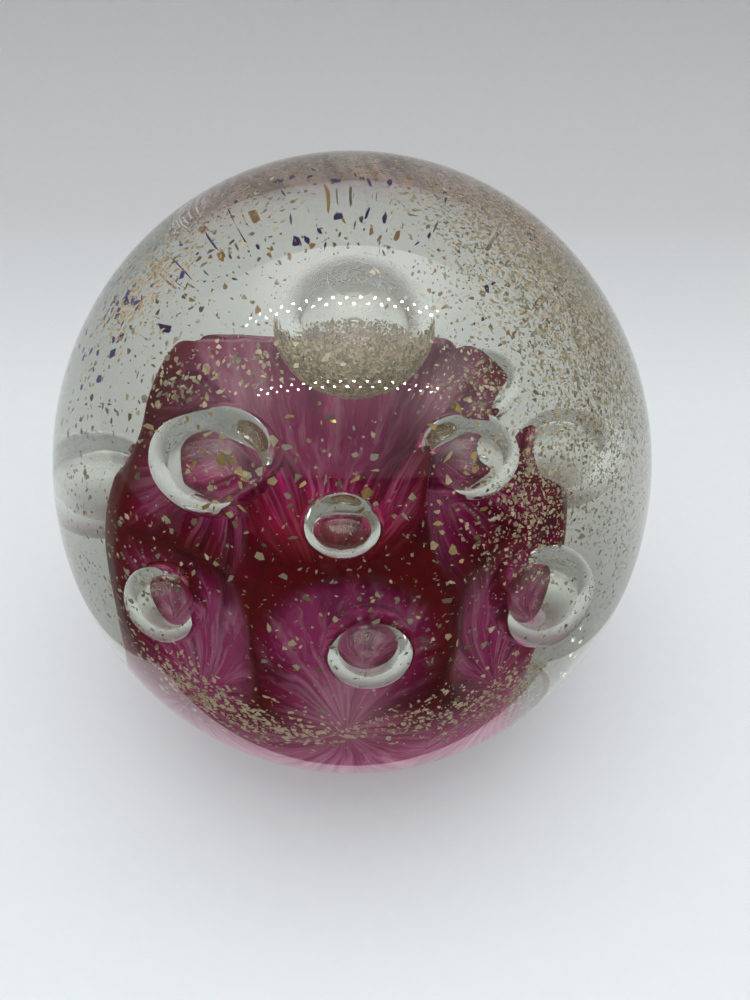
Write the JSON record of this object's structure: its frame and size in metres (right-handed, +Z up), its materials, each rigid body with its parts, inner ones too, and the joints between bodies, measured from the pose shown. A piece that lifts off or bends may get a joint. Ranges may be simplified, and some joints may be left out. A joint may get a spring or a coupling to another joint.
{
  "type": "glass paperweight",
  "caption": "Egg-shaped clear glass paperweight with a flat foot, a dimpled pink bulb inside, trapped air bubbles and metallic flakes.",
  "frame": {"origin": "centre of the flat foot, on the surface that the paperweight stands on", "axes": "+Z up along the body's axis; the front, with the two bubbles one above the other, faces -Y; +X is to the right"},
  "size_m": [0.08, 0.08, 0.0775],
  "materials": {
    "casing_glass": "clear fire-polished glass, very slightly green",
    "gather_glass": "clear glass fused under the casing, with trapped air bubbles",
    "pink_glass": "streaky magenta and crimson glass, nearly opaque",
    "core_glass": "clear glass inside the pink bulb",
    "mica_flakes": "dull gold and silvery mica flakes",
    "gold_leaf": "bright crumpled gold leaf"
  },
  "bodies": {
    "root": {"outer_casing": "casing_glass", "second_gather": "gather_glass", "pink_overlay": "pink_glass", "core_gather": "core_glass", "flakes_front_left": "mica_flakes", "flakes_front_right": "mica_flakes", "flakes_right": "mica_flakes", "flakes_back_right": "mica_flakes", "flakes_back_left": "mica_flakes", "flakes_left": "mica_flakes", "flakes_crown": "mica_flakes", "crown_floor_flakes": "gold_leaf", "gold_leaf_scraps": "gold_leaf"}
  },
  "joints": []
}
